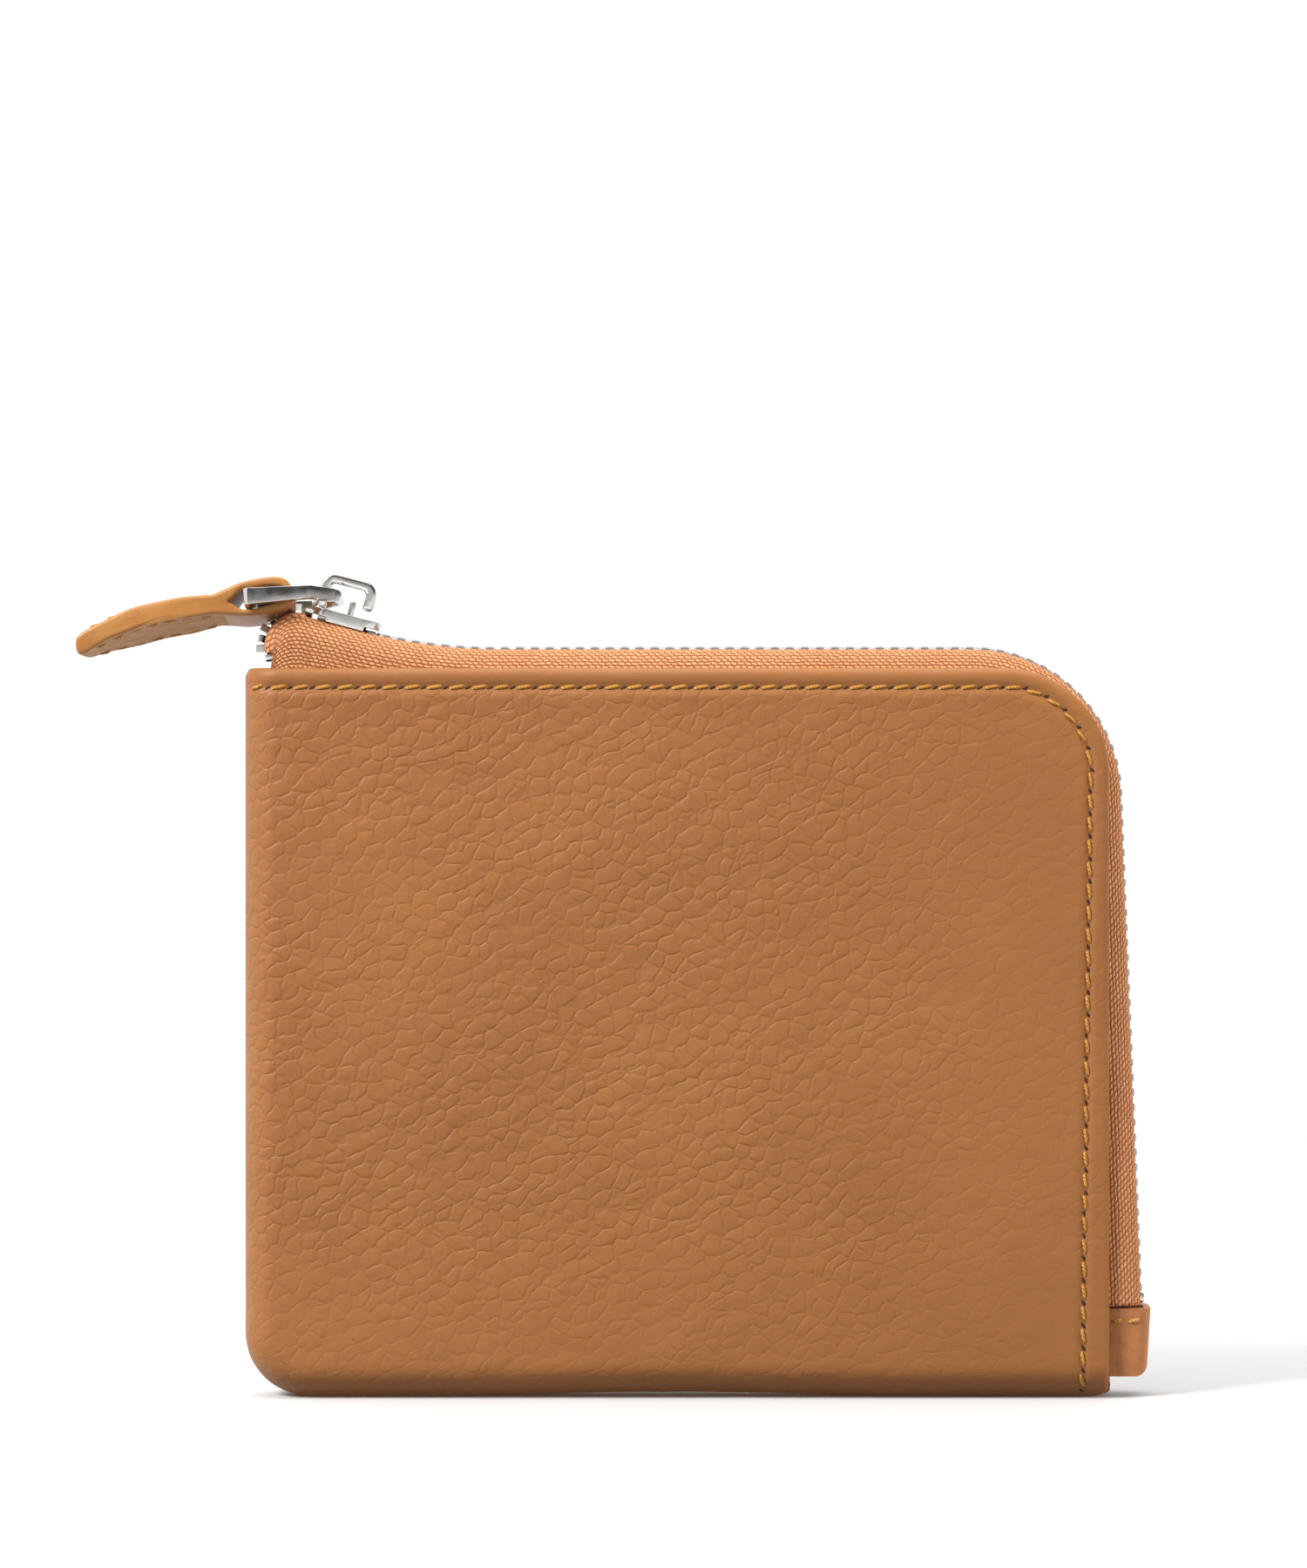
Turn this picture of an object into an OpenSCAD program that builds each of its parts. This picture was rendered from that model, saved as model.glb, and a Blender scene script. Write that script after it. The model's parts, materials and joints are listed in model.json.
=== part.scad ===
// Zip wallet, standing on its bottom edge. Its front faces -Y and the zip runs along the top
// and down the right side. Millimetres, with the origin at the centre of the base.

/* [Body] */
// Width of the leather panels
panel_w = 115; // [105:1:125]
// Height of the leather panels
panel_h = 97; // [90:1:105]
// Depth over both panels
depth = 14; // [13.5:0.5:15]
// Thickness of the leather
leather_t = 1.2; // [1:0.1:1.3]
// Corner radius of the panels at the zip's turn
zip_corner_r = 14; // [12:0.5:16]
// Corner radius of the panels at the bottom left
seam_corner_r = 8.5; // [7:0.5:10]
// Radius where the face turns in to the sewn seam
edge_r = 1.5; // [1.4:0.1:2]
// Width of the turned-in hem along the zip
hem_w = 8; // [6:0.5:9]

/* [Zip] */
// Distance between two teeth on one tape
tooth_pitch = 2; // [2:0.1:2.4]
// Height of the chain above the top edge of the panels
chain_rise = 2.15; // [2:0.05:2.5]
// Radius of the chain's turn at the corner
chain_corner_r = 19.5; // [19:0.5:21]
// Outward lean of the chain down the right side, in degrees
side_lean = 2.3; // [1:0.1:3]
// Downward tilt of the slider, in degrees
slider_tilt = 15; // [10:1:18]
// Length of the slider's body
slider_l = 9.2; // [9:0.1:9.4]
// Width of the slider's body
slider_w = 7; // [6.8:0.1:7.2]

/* [Pull] */
// Length of the metal ring, from its eye to its wide bar
ring_l = 11.2; // [10.5:0.1:12]
// Width of the leather strap
strap_w = 10; // [8:0.5:10]
// Thickness of the doubled strap
strap_t = 2.8; // [2.4:0.1:3]
// Roll of the ring and strap about their length, in degrees
pull_roll = 8; // [0:1:10]

/* [Stitching] */
// Distance between stitches
stitch_pitch = 2.95; // [2.5:0.05:3.5]
// Inset of the stitching from the edge
stitch_inset = 2.55; // [2.2:0.05:3]

/* [Hidden] */
$fn = 48;
big = 400;

half_w = panel_w / 2;
half_d = depth / 2;
inner_v = half_d - leather_t;          // inside face of the leather
hem_t = 0.6;
hem_v = inner_v - hem_t;               // inside face of the turned-in hem
tape_t = 0.4;
lining_t = 0.4;
lining_v = hem_v - tape_t - lining_t;  // inside face of the lining
slot_t = 0.4;

// The line about which the front folds open, from the zip's left end to its lower end
fold_left = [-half_w, panel_h - 3];
fold_right = [half_w, 10];

// The chain's path, in the X-Z plane. Each angle is the chain's outward direction from +X.
chain_top = panel_h + chain_rise;
turn_c = [39.3, chain_top - chain_corner_r];
end_r = 3.75;
end_c = [-50.3, 99.9];
end_from = 190;
ramp_r = 70;
ramp_start = end_c + end_r * [sin(slider_tilt), cos(slider_tilt)];
ramp_dir = [cos(slider_tilt), -sin(slider_tilt)];
ramp_drop = ramp_start[1] - chain_top - ramp_r * (1 - cos(slider_tilt));
ramp_l = ramp_drop / sin(slider_tilt);
ramp_end = ramp_start + ramp_l * ramp_dir;
level_x = ramp_end[0] + ramp_r * sin(slider_tilt);
side_start = turn_c + chain_corner_r * [cos(side_lean), sin(side_lean)];
side_dir = [sin(side_lean), -cos(side_lean)];
side_l = 68.2;

// Length along the chain at the end of each stretch
s_end = end_r * (end_from - 90 + slider_tilt) * PI / 180;
s_ramp = s_end + ramp_l;
s_dip = s_ramp + ramp_r * slider_tilt * PI / 180;
s_top = s_dip + turn_c[0] - level_x;
s_turn = s_top + chain_corner_r * (90 - side_lean) * PI / 180;
s_side = s_turn + side_l;

// [x, z, outward angle] at a length s along the chain
function on_arc(c, r, a) = [c[0] + r * cos(a), c[1] + r * sin(a), a];
function chain_at(s) =
    s < s_end ? on_arc(end_c, end_r, end_from - s / end_r * 180 / PI)
    : s < s_ramp ? concat(ramp_start + (s - s_end) * ramp_dir, 90 - slider_tilt)
    : s < s_dip ? dip_at((s - s_ramp) / ramp_r * 180 / PI)
    : s < s_top ? [level_x + s - s_dip, chain_top, 90]
    : s < s_turn ? on_arc(turn_c, chain_corner_r, 90 - (s - s_top) / chain_corner_r * 180 / PI)
    : concat(side_start + (s - s_turn) * side_dir, side_lean);
function dip_at(turned) = [
    level_x - ramp_r * sin(slider_tilt - turned),
    chain_top + ramp_r * (1 - cos(slider_tilt - turned)),
    90 - slider_tilt + turned
];

slider_s = s_end + 5.2;
slider_at = chain_at(slider_s);
plate_low = 1.05;
plate_high = 2.05;
crown_w = 2.2;
eye_at = [-2.05, 3.9];                 // ring's eye, along and above the slider's body
ring_drop = 4;                         // ring's fall below level, in degrees
ring_t = 1.6;
ring_half = 6.6;
ring_in = 5.3;
eye_r = 0.7;
flange_t = 0.5;
flange_low = 0.45;
crown_top = 6;
crown_t = 1.05;
crown_gap = 1.05;
pin_x = 0.2;
pin_r = 0.4;
pin_l = 2.9;
strap_drop = 10;                       // strap's fall below level, in degrees
strap_end = 24;                        // strap's tip, from the ring's wide bar
bend_x = 4.6;                          // where the strap bends to lie on the chain
sag_from = 10;
strap_sag = 1.9;
loop_half = 2.35;
loop_in = 1.3;                         // half height inside the loop
loop_fold = -5.2;
stitch_l = 2.1;
stitch_w = 0.5;
stitch_t = 0.2;

// Mirrors a front piece to the back
module back_side() { mirror([0, 1, 0]) children(); }

// Stands a drawing in X-Z on the plane y = from and gives it a thickness towards the front
module face_plate(from, thick) {
    translate([0, -from, 0]) rotate([90, 0, 0]) linear_extrude(thick) children();
}

// Outline with its top right corner rounded
module zip_outline(left, bottom, right, top, r) {
    difference() {
        translate([left, bottom]) square([right - left, top - bottom]);
        difference() {
            translate([right - r, top - r]) square(r + 1);
            translate([right - r, top - r]) circle(r);
        }
    }
}

// Everything above the fold line, in X-Z
module above_fold() {
    slope = (fold_right[1] - fold_left[1]) / (fold_right[0] - fold_left[0]);
    polygon([
        [-big, fold_left[1] - slope * (big + fold_left[0])],
        [big, fold_right[1] + slope * (big - fold_right[0])],
        [big, big], [-big, big]
    ]);
}
module flap_part() {
    intersection() {
        children();
        face_plate(0, 20) intersection() {
            above_fold();
            translate([-100, -10]) square(200);
        }
    }
}
module lower_part() {
    difference() {
        children();
        translate([0, 1, 0]) face_plate(0, 20) intersection() {
            above_fold();
            translate([-100, -10]) square(200);
        }
    }
}

// Section of a sewn edge: u runs in from the edge, v runs out from the seam
module edge_section(w) {
    difference() {
        rounded_block(0, w);
        rounded_block(leather_t, w + 1);
    }
}
module rounded_block(inset, w) {
    r = edge_r - inset;
    c = [edge_r, half_d - edge_r];
    translate([inset, inset > 0 ? -1 : 0])
        square([w - inset, c[1] + (inset > 0 ? 1 : 0)]);
    translate([edge_r, 0]) square([w - edge_r, half_d - inset]);
    intersection() {
        translate(c) circle(r);
        translate([0, 0]) square([edge_r, half_d]);
    }
}

// One leather panel: a flat face, two rounded sewn edges and a turned-in hem
module panel() {
    face_plate(inner_v, leather_t) zip_outline(-half_w + seam_corner_r, seam_corner_r,
        half_w, panel_h, zip_corner_r);
    translate([-half_w, 0, seam_corner_r]) mirror([0, 1, 0])
        linear_extrude(panel_h - seam_corner_r) edge_section(seam_corner_r);
    translate([half_w, 0, 0]) rotate([0, -90, 0]) mirror([0, 1, 0])
        linear_extrude(panel_w - seam_corner_r) edge_section(seam_corner_r);
    translate([-half_w + seam_corner_r, 0, seam_corner_r]) rotate([90, 0, 0])
        rotate([0, 0, 180]) rotate_extrude(angle = 90, $fn = 96)
        translate([seam_corner_r, 0]) mirror([1, 0]) edge_section(seam_corner_r);
    face_plate(hem_v, hem_t) difference() {
        zip_outline(-half_w + 3, 3, half_w, panel_h, zip_corner_r);
        zip_outline(-half_w - 1, -1, half_w - hem_w, panel_h - hem_w, zip_corner_r - hem_w);
    }
}

module lining() {
    face_plate(lining_v, lining_t)
        zip_outline(-half_w + 4.5, 4, half_w - 4.5, panel_h - 3, zip_corner_r);
}

// Section of a zip tape: n runs outward from the chain, v runs from the centre to the front
module tape_section(depth_in) {
    intersection() {
        polygon([
            [-10, hem_v - tape_t], [-1.7, hem_v - tape_t], [-0.2, 3.55], [-0.2, 2.15],
            [0.2, 2.15], [0.2, 3.75], [-1.5, hem_v], [-10, hem_v]
        ]);
        translate([-depth_in, 0]) square([depth_in + 1, 10]);
    }
}

// Sweeps a section, drawn as (n, v), along the chain from length s by l. A hair's breadth at
// each end keeps the straight stretches apart from the arcs.
tape_cut = 0.01;
module sweep_straight(s, l) {
    p = chain_at(s + tape_cut);
    translate([p[0], 0, p[1]]) rotate([0, 90 - p[2], 0])
        rotate([90, 0, 90]) linear_extrude(l - 2 * tape_cut) rotate(90) children();
}
module sweep_arc(c, r, from_angle, turn) {
    translate([c[0], 0, c[1]]) rotate([90, 0, 0]) rotate([0, 0, from_angle])
        rotate_extrude(angle = turn, $fn = 96) translate([r, 0]) children();
}

module zip_tape() {
    sweep_arc(end_c, end_r, 90 - slider_tilt, end_from - 90 + slider_tilt) tape_section(3.2);
    sweep_straight(s_end, ramp_l) tape_section(10);
    translate([level_x, 0, chain_top + ramp_r]) rotate([90, 0, 0])
        rotate([0, 0, -90 - slider_tilt]) rotate_extrude(angle = slider_tilt, $fn = 96)
        translate([ramp_r, 0]) mirror([1, 0]) tape_section(10);
    sweep_straight(s_dip, s_top - s_dip) tape_section(10);
    sweep_arc(turn_c, chain_corner_r, side_lean, 90 - side_lean) tape_section(10);
    sweep_straight(s_turn, side_l) tape_section(10);
    sweep_straight(s_side, 6) translate([-0.6, 2.15]) square([0.5, 0.7]);
}

// A tooth, centred on the chain. In the closed chain it reaches past the middle.
tooth_l = 0.9;
tooth_h = 1.5;
tooth_v = 2.15;                        // outer end of a tooth
tooth_reach = 0.5;
module teeth(first) {
    for (s = [first : tooth_pitch : s_side - 1.5])
        if (s < slider_s - 4.4 || s > slider_s - 0.6) {
            p = chain_at(s);
            w = tooth_v + (s > s_end + 1 ? tooth_reach : -0.05);
            translate([p[0], 0, p[1]]) rotate([0, 90 - p[2], 0])
                translate([-tooth_l / 2, -tooth_v, -tooth_h / 2]) cube([tooth_l, w, tooth_h]);
        }
}
module top_stop() {
    p = chain_at(0);
    translate([p[0], 0, p[1]]) rotate([0, 90 - p[2], 0])
        translate([-1.2, -tooth_v, -1]) cube([1.1, 1.9, 2]);
}

// Slider parts are drawn with X along the chain and Z outward from it
module at_slider() {
    translate([slider_at[0], 0, slider_at[1]]) rotate([0, slider_tilt, 0]) children();
}
module rounded_rect(x0, z0, x1, z1, r) {
    translate([x0 + r, z0]) square([x1 - x0 - 2 * r, z1 - z0]);
    translate([x0, z0 + r]) square([x1 - x0, z1 - z0 - 2 * r]);
    for (x = [x0 + r, x1 - r], z = [z0 + r, z1 - r]) translate([x, z]) circle(r);
}
// Gives a side view, drawn in X-Z, a width across Y
module across(w) {
    translate([0, w / 2, 0]) rotate([90, 0, 0]) linear_extrude(w) children();
}
module slider_plate() {
    translate([0, 0, plate_low]) linear_extrude(plate_high - plate_low)
        rounded_rect(-slider_l / 2, -slider_w / 2, slider_l / 2, slider_w / 2, 2);
    for (y = [-slider_w / 2, slider_w / 2 - flange_t])
        translate([-slider_l / 2 + 2, y, flange_low])
            cube([slider_l - 4, flange_t, plate_low - flange_low]);
}

// The ring's own frame: X runs from the eye to the wide bar and Y along the eye
module at_ring() {
    at_slider() translate([eye_at[0], 0, eye_at[1]])
        rotate([0, 180 - ring_drop - slider_tilt, 0]) rotate([pull_roll, 0, 0]) children();
}
// The strap's own frame, at the middle of the ring's wide bar: X runs towards the tip
module at_strap() {
    at_ring() translate([ring_l, 0, 0]) rotate([0, ring_drop - strap_drop, 0]) children();
}
function sag(x) = x < sag_from ? 0 : strap_sag * pow((x - sag_from) / (strap_end - sag_from), 2);

// Stitch places along the zip: [x, z, angle of the row] at a length s along the row
row_r = zip_corner_r - stitch_inset;
row_c = [half_w - zip_corner_r, panel_h - zip_corner_r];
row_left = -half_w + 1.6;
row_top_l = row_c[0] - row_left;
row_turn_l = row_top_l + row_r * PI / 2;
row_l = row_turn_l + row_c[1] - 1.6;
function stitch_at(s) =
    s < row_top_l ? [row_left + s, panel_h - stitch_inset, 0]
    : s < row_turn_l ? turned_stitch(90 - (s - row_top_l) / row_r * 180 / PI)
    : [half_w - stitch_inset, row_c[1] - (s - row_turn_l), -90];
function turned_stitch(a) = [row_c[0] + row_r * cos(a), row_c[1] + row_r * sin(a), a - 90];
function fold_height(x) = fold_left[1]
    + (x - fold_left[0]) * (fold_right[1] - fold_left[1]) / (fold_right[0] - fold_left[0]);
module stitch() {
    translate([-stitch_l / 2, -stitch_t, -stitch_w / 2]) cube([stitch_l, stitch_t, stitch_w]);
}
fold_gap = stitch_l / 2 + 0.2;           // no stitch lies across the fold line
module stitch_row(flap, lower) {
    for (s = [0 : stitch_pitch : row_l]) {
        p = stitch_at(s);
        above = p[1] > fold_height(p[0]) + fold_gap;
        below = p[1] < fold_height(p[0]) - fold_gap;
        if ((above && flap) || (below && lower))
            translate([p[0], -half_d, p[1]]) rotate([0, -p[2], 0]) stitch();
    }
}

tan = [0.72, 0.45, 0.26];
tan_edge = [0.78, 0.54, 0.3];
cloth = [0.62, 0.45, 0.3];
tape_tan = [0.8, 0.52, 0.33];
thread = [0.86, 0.62, 0.24];

module front_panel_lower() { color(tan) lower_part() panel(); }
module front_panel_flap() { color(tan) flap_part() panel(); }
module back_panel() { color(tan) back_side() panel(); }
module front_lining_lower() { color(cloth) lower_part() lining(); }
module front_lining_flap() { color(cloth) flap_part() lining(); }
module back_lining() { color(cloth) back_side() lining(); }

// A patch pocket on the front lining and three card slots on the back lining
module coin_pocket() {
    color(cloth) face_plate(lining_v - slot_t, slot_t) translate([-50, 8]) square([44, 40]);
}
module card_slot(step, top) {
    color(tan) back_side() face_plate(lining_v - slot_t * (step + 1), slot_t)
        translate([-50, 8]) square([100, top - 8]);
}
module card_slot_upper() { card_slot(0, 74); }
module card_slot_middle() { card_slot(1, 62); }
module card_slot_lower() { card_slot(2, 50); }

module front_zip_tape() { color(tape_tan) zip_tape(); }
module back_zip_tape() { color(tape_tan) back_side() zip_tape(); }
module front_teeth() { color("silver") teeth(0.5); }
module back_teeth() { color("silver") back_side() teeth(0.5 + tooth_pitch / 2); }
module front_top_stop() { color("silver") top_stop(); }
module back_top_stop() { color("silver") back_side() top_stop(); }
module bottom_stop() {
    p = chain_at(s_side);
    color("silver") translate([p[0], 0, p[1]]) rotate([0, 90 - p[2], 0])
        translate([-1.45, -2.1, -1]) cube([1.4, 4.2, 2]);
}

module slider_body() {
    color("gainsboro") at_slider() {
        difference() {
            slider_plate();
            translate([pin_x, 0, 0]) cylinder(r = pin_r + 0.1, h = 5);
        }
        mirror([0, 0, 1]) slider_plate();
        translate([-3.9, -0.8, -plate_low]) cube([2.8, 1.6, 2 * plate_low]);
    }
}
module slider_crown() {
    color("gainsboro") at_slider() across(crown_w) difference() {
        rounded_rect(-4.4, 0, 2.8, crown_top, 1.7);
        rounded_rect(-4.4 + crown_t, 0, 2.8 - crown_t, crown_top - crown_t, 0.8);
        translate([-5, -1]) square([9, 1 + plate_high]);
        translate([0.9, 0]) square([3, plate_high + crown_gap]);
    }
}
module lock_pin() {
    color("silver") at_slider() translate([pin_x, 0, plate_low]) cylinder(r = pin_r, h = pin_l);
}
module pull_ring() {
    color("gainsboro") at_ring() {
        translate([0, 0, -ring_t / 2]) linear_extrude(ring_t) difference() {
            polygon([[0, -2.9], [0, 2.9], [3.2, ring_half], [ring_l + 0.4, ring_half],
                [ring_l + 0.9, ring_half - 0.5], [ring_l + 0.9, 0.5 - ring_half],
                [ring_l + 0.4, -ring_half], [3.2, -ring_half]]);
            polygon([[-1, -1.6], [-1, 1.6], [0.8, 1.6], [3.6, ring_in], [ring_l - 0.8, ring_in],
                [ring_l - 0.8, -ring_in], [3.6, -ring_in], [0.8, -1.6]]);
        }
        rotate([90, 0, 0]) cylinder(r = eye_r, h = 5.8, center = true);
    }
}
module strap_loop() {
    color(tan_edge) at_strap() across(strap_w) difference() {
        union() {
            rounded_rect(loop_fold, -loop_half, 2.5, loop_half, loop_half - 0.1);
            polygon([[0, -loop_half], [bend_x, -strap_t / 2], [bend_x, strap_t / 2], [0, loop_half]]);
        }
        rounded_rect(loop_fold + loop_half - loop_in, -loop_in, 1.6, loop_in, loop_in - 0.05);
    }
}
module strap_tail() {
    steps = 8;
    xs = [for (i = [0 : steps]) bend_x + (strap_end - bend_x) * i / steps];
    color(tan_edge) at_strap() across(strap_w) polygon(concat(
        [for (i = [0 : steps]) [xs[i], sag(xs[i]) - strap_t / 2]],
        [for (i = [steps : -1 : 0]) [xs[i], sag(xs[i]) + strap_t / 2]]));
}
strap_stitch = [1.8, stitch_w, 0.3];
strap_stitch_gap = 0.03;               // keeps a stitch clear of the sagging strap
module strap_stitching() {
    color(thread) at_strap() for (x = [bend_x + 1.6 : 2.4 : strap_end - 2], y = [-1, 1], z = [-1, 1])
        translate([x, y * (strap_w / 2 - 1.3), sag(x)])
            rotate([0, -atan((sag(x + 0.5) - sag(x - 0.5))), 0])
            translate([0, 0, z * (strap_t / 2 + strap_stitch[2] / 2 + strap_stitch_gap)])
            cube(strap_stitch, center = true);
}

// A strip folded round the ends of both tapes
tab_left = 54;
tab_right = 62.8;
tab_low = 2.8;
tab_high = 11.85;
tab_v = 4.6;
tab_t = 0.9;
module zip_end_tab() {
    color(tan) intersection() {
        translate([0, 0, tab_low]) linear_extrude(tab_high - tab_low) difference() {
            tab_outline(tab_right, tab_v, 2);
            tab_outline(tab_right - tab_t, tab_v - tab_t, 1.1);
        }
        translate([0, 10, 0]) face_plate(0, 20) union() {
            translate([tab_left - 2, tab_low + 1.8]) square([tab_right - tab_left + 2, 10]);
            translate([tab_left - 2, tab_low]) square([tab_right - tab_left + 0.2, 3]);
            translate([tab_right - 1.8, tab_low + 1.8]) circle(1.8);
        }
    }
}
module tab_outline(right, v, r) {
    translate([tab_left - (r < 2 ? 1 : 0), -v]) square([right - r - tab_left + (r < 2 ? 1 : 0), 2 * v]);
    translate([right - r - 1, -v + r]) square([r + 1, 2 * (v - r)]);
    for (y = [-1, 1]) translate([right - r, y * (v - r)]) circle(r);
}
module tab_stitching() {
    color(thread) for (x = [58.9, 61.2 - 0.9], side = [0, 1]) mirror([0, side, 0])
        translate([x - 0.6, -tab_v - 0.25, 10]) cube([1.2, 0.25, stitch_w]);
}
module front_stitching() { color(thread) stitch_row(true, false); }
module front_corner_stitching() { color(thread) stitch_row(false, true); }
module back_stitching() { color(thread) back_side() stitch_row(true, true); }

front_panel_lower();
front_panel_flap();
back_panel();
front_lining_lower();
front_lining_flap();
back_lining();
coin_pocket();
card_slot_upper();
card_slot_middle();
card_slot_lower();
front_zip_tape();
back_zip_tape();
front_teeth();
back_teeth();
front_top_stop();
back_top_stop();
bottom_stop();
slider_body();
slider_crown();
lock_pin();
pull_ring();
strap_loop();
strap_tail();
strap_stitching();
zip_end_tab();
tab_stitching();
front_stitching();
front_corner_stitching();
back_stitching();
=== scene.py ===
"""Looks of a small zip wallet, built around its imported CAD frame. Lengths are in millimetres
until a mesh is made, because the parts are small; make_mesh() turns them into metres."""
import json
import math

import bmesh
import bpy
import numpy as np
from mathutils import Matrix, Vector, noise


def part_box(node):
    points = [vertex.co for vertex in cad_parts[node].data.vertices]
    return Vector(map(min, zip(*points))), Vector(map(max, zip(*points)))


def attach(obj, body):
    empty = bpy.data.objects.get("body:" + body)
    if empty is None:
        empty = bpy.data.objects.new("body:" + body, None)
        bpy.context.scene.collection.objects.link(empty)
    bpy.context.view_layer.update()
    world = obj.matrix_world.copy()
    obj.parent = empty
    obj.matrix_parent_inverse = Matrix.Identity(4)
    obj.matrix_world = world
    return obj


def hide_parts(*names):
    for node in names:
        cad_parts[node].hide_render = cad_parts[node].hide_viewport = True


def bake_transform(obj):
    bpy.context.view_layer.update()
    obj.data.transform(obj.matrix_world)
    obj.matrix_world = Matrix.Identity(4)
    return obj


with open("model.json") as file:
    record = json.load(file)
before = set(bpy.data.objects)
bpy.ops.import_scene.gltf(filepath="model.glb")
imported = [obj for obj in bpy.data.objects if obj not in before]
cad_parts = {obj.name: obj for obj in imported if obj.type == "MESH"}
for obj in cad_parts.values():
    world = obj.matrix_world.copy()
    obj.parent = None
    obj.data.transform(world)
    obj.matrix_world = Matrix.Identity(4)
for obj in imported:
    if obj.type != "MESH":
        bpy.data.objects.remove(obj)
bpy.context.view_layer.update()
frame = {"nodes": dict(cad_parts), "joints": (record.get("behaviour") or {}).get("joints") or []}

MM = 0.001
JOINTS = {joint["name"]: joint for joint in frame["joints"]}


def node_box(node):
    """Lowest and highest corner of a CAD node, in millimetres."""
    low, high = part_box(node)
    return np.array(low) / MM, np.array(high) / MM


# ---------------------------------------------------------------- sizes
panel_high = node_box("back_panel")[1]
HALF_W = panel_high[0]
PANEL_H = panel_high[2]
HALF_D = panel_high[1]
ZIP_CORNER_R = 14.0
SEAM_CORNER_R = 8.5
LEATHER_T = 1.2
HEM_T = 1.9
HEM_W = 8.0
STITCH_INSET = 2.55
STITCH_PITCH = 2.95

# A distance either side of the fold about which the front opens
FOLD_SOFT = 11.0


# ---------------------------------------------------------------- mesh helpers
def make_mesh(name, points, faces, material=None, smooth=True):
    """A new object from points in millimetres."""
    mesh = bpy.data.meshes.new(name)
    mesh.from_pydata([tuple(float(c) * MM for c in p) for p in points], [], faces)
    work = bmesh.new()
    work.from_mesh(mesh)
    bmesh.ops.recalc_face_normals(work, faces=work.faces)
    work.to_mesh(mesh)
    work.free()
    mesh.polygons.foreach_set("use_smooth", [smooth] * len(mesh.polygons))
    obj = bpy.data.objects.new(name, mesh)
    bpy.context.scene.collection.objects.link(obj)
    if material:
        mesh.materials.append(material)
    return obj


def apply_modifiers(obj):
    """Replaces a piece's mesh with what its modifiers make of it."""
    evaluated = obj.evaluated_get(bpy.context.evaluated_depsgraph_get())
    mesh = bpy.data.meshes.new_from_object(evaluated)
    obj.modifiers.clear()
    obj.data = mesh


def soften(name, node, width, material, segments=3):
    """A CAD node's shape with its sharp edges rounded off."""
    source = frame["nodes"][node].data
    mesh = source.copy()
    mesh.materials.clear()
    work = bmesh.new()
    work.from_mesh(mesh)
    bmesh.ops.remove_doubles(work, verts=work.verts, dist=0.002 * MM)
    bmesh.ops.dissolve_limit(work, angle_limit=math.radians(1), verts=work.verts,
                             edges=work.edges)
    work.to_mesh(mesh)
    work.free()
    obj = bpy.data.objects.new(name, mesh)
    bpy.context.scene.collection.objects.link(obj)
    bevel = obj.modifiers.new("bevel", "BEVEL")
    bevel.width = width * MM
    bevel.segments = segments
    bevel.limit_method = "ANGLE"
    bevel.angle_limit = math.radians(32)
    bevel.harden_normals = False
    apply_modifiers(obj)
    obj.data.materials.append(material)
    obj.data.polygons.foreach_set("use_smooth", [True] * len(obj.data.polygons))
    obj.data.set_sharp_from_angle(angle=math.radians(38))
    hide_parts(node)
    return obj


def rolled(value, scale, seed):
    """Smooth noise at a point in millimetres, about -1 to 1."""
    return noise.noise(Vector(value) / scale + Vector((seed * 7.3, seed * 3.1, seed)))


def tube_faces(rings, sides):
    """Faces of a tube through rings of points, closed at both ends."""
    faces = []
    for i in range(rings - 1):
        for k in range(sides):
            n = (k + 1) % sides
            a, b = i * sides, (i + 1) * sides
            faces.append([a + k, b + k, b + n, a + n])
    faces.append(list(range(sides)))
    faces.append([(rings - 1) * sides + k for k in reversed(range(sides))])
    return faces


def layer_faces(nx, nz):
    """Faces of two grids of points, one over the other and facing apart, and the points round
    the first one's rim, in order."""
    count = nx * nz
    faces = []
    for i in range(nx - 1):
        for j in range(nz - 1):
            a = i * nz + j
            quad = [a, a + 1, a + nz + 1, a + nz]
            faces.append(quad)
            faces.append([k + count for k in reversed(quad)])
    rim = ([i * nz for i in range(nx)] + [(nx - 1) * nz + j for j in range(1, nz)]
           + [i * nz + nz - 1 for i in range(nx - 2, -1, -1)] + list(range(nz - 2, 0, -1)))
    return faces, rim


def joined(name, parts, material):
    """One object from several (points, faces) parts."""
    points, faces = [], []
    for part_points, part_faces in parts:
        base = len(points)
        points.extend(part_points)
        faces.extend([[i + base for i in face] for face in part_faces])
    return make_mesh(name, points, faces, material)


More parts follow.
